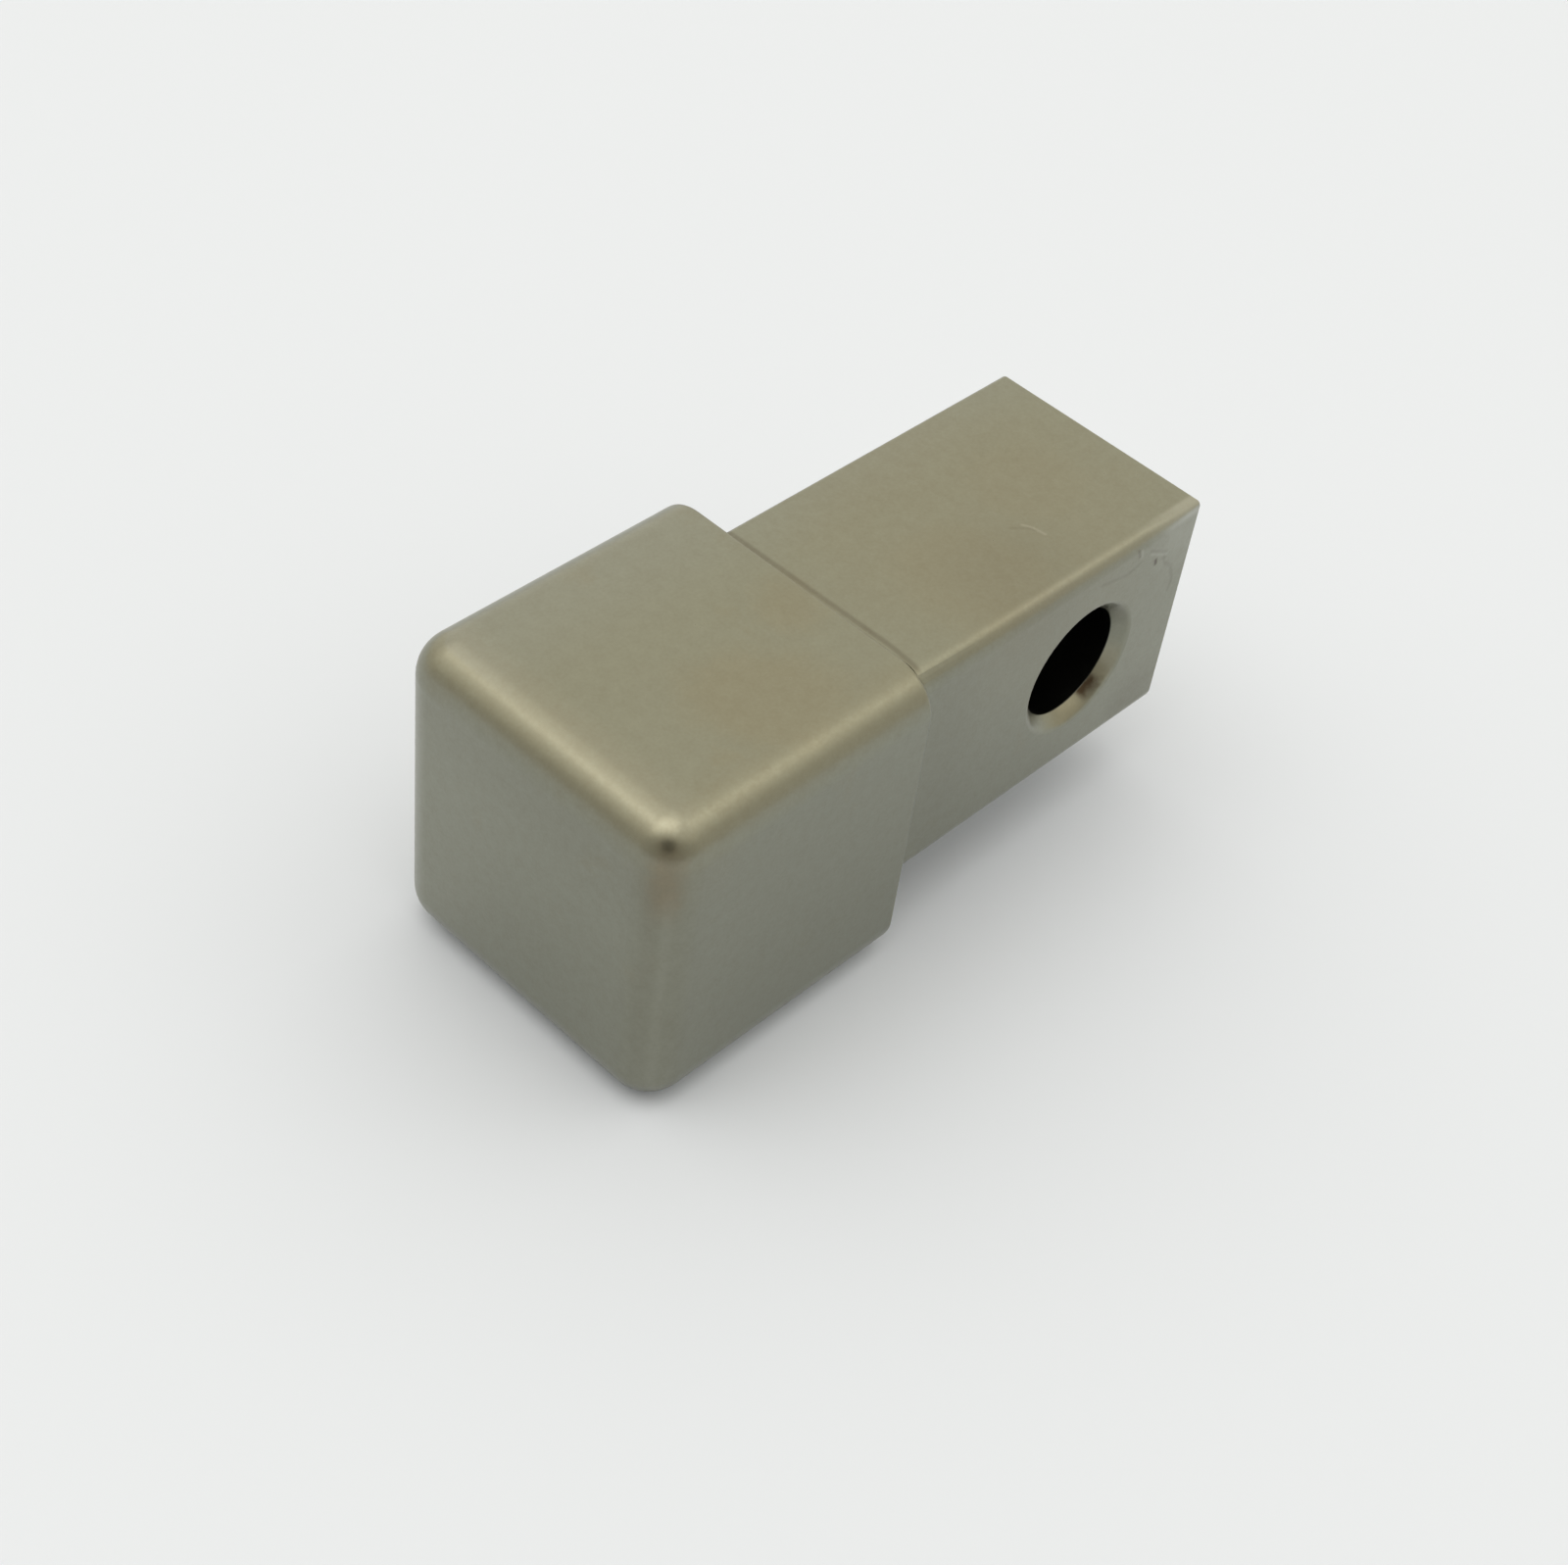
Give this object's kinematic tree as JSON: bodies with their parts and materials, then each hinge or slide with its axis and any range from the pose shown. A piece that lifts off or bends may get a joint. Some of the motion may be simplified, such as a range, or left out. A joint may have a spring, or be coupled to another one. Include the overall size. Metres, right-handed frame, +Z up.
{
  "type": "corner connector",
  "caption": "Cast metal corner connector: a rounded cube-shaped head closes the corner of a square-edged trim channel, and an offset tang with a cross hole slides into the channel.",
  "frame": {"origin": "on the surface the head stands on, under the middle of the whole piece", "axes": "+X along the tang from the head to the free end, +Y from the side with the shallow step to the side with the deep step, +Z up"},
  "size_m": [0.0248, 0.012, 0.0122],
  "materials": {
    "satin_nickel": "satin nickel plating on a zinc casting"
  },
  "bodies": {
    "root": {"corner_connector": "satin_nickel"}
  },
  "joints": []
}
